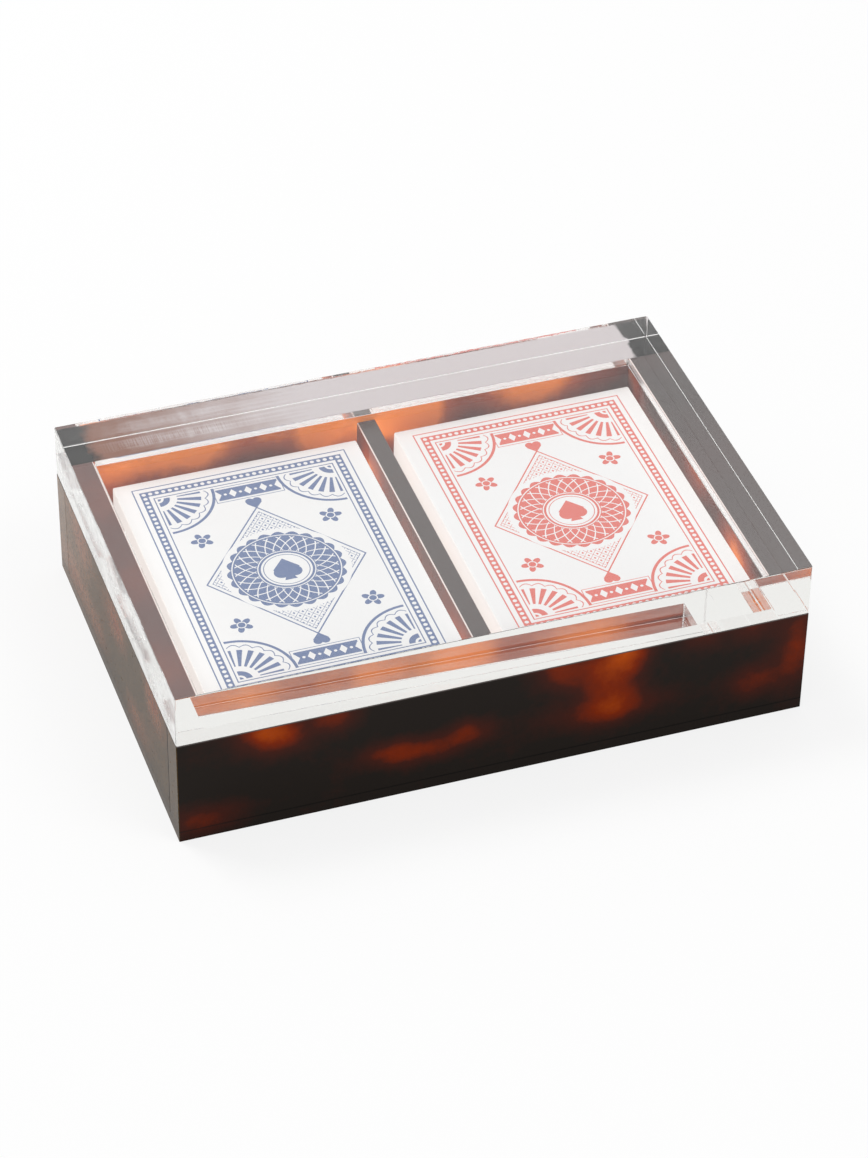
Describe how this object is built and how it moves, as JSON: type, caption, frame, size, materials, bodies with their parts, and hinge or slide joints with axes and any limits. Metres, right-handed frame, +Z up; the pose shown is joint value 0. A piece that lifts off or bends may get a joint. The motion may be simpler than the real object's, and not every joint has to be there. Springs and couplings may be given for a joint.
{
  "type": "playing card box",
  "caption": "Flat box for playing cards: a tortoiseshell acrylic tray with two bays, a tuck case of cards in each, and a thick clear lid with a locating plug that lifts off.",
  "frame": {"origin": "centre of the footprint, on the surface that the box stands on", "axes": "+X to the right along the long front, +Y from the front to the back, +Z up; the blue deck is in the bay at -X"},
  "size_m": [0.165, 0.114, 0.046],
  "materials": {
    "tortoiseshell": "polished",
    "clear_acrylic": "polished",
    "blue_case_board": "satin",
    "red_case_board": "satin",
    "blue_card_stock": "satin",
    "red_card_stock": "satin"
  },
  "bodies": {
    "tray": {"base_plate": "tortoiseshell", "front_wall": "tortoiseshell", "back_wall": "tortoiseshell", "left_wall": "tortoiseshell", "right_wall": "tortoiseshell", "divider": "tortoiseshell"},
    "lid": {"lid_slab": "clear_acrylic", "lid_plug": "clear_acrylic"},
    "blue_deck": {"blue_tuck_case": "blue_case_board", "blue_tuck_flap": "blue_case_board", "blue_spades": "blue_card_stock", "blue_hearts": "blue_card_stock", "blue_clubs": "blue_card_stock", "blue_diamonds": "blue_card_stock", "blue_jokers": "blue_card_stock"},
    "red_deck": {"red_tuck_case": "red_case_board", "red_tuck_flap": "red_case_board", "red_spades": "red_card_stock", "red_hearts": "red_card_stock", "red_clubs": "red_card_stock", "red_diamonds": "red_card_stock", "red_jokers": "red_card_stock"}
  },
  "joints": [
    {"name": "lid_lift", "type": "slide", "parent": "tray", "child": "lid", "axis": [0, 0, 1], "range_m": [0, 0.12]},
    {"name": "blue_deck_lift", "type": "slide", "parent": "tray", "child": "blue_deck", "axis": [0, 0, 1], "range_m": [0, 0.06]},
    {"name": "red_deck_lift", "type": "slide", "parent": "tray", "child": "red_deck", "axis": [0, 0, 1], "range_m": [0, 0.06]}
  ],
  "couplings": [
    {"joint": "blue_deck_lift", "follows": "lid_lift", "ratio": 0.5},
    {"joint": "red_deck_lift", "follows": "lid_lift", "ratio": 0.5}
  ]
}
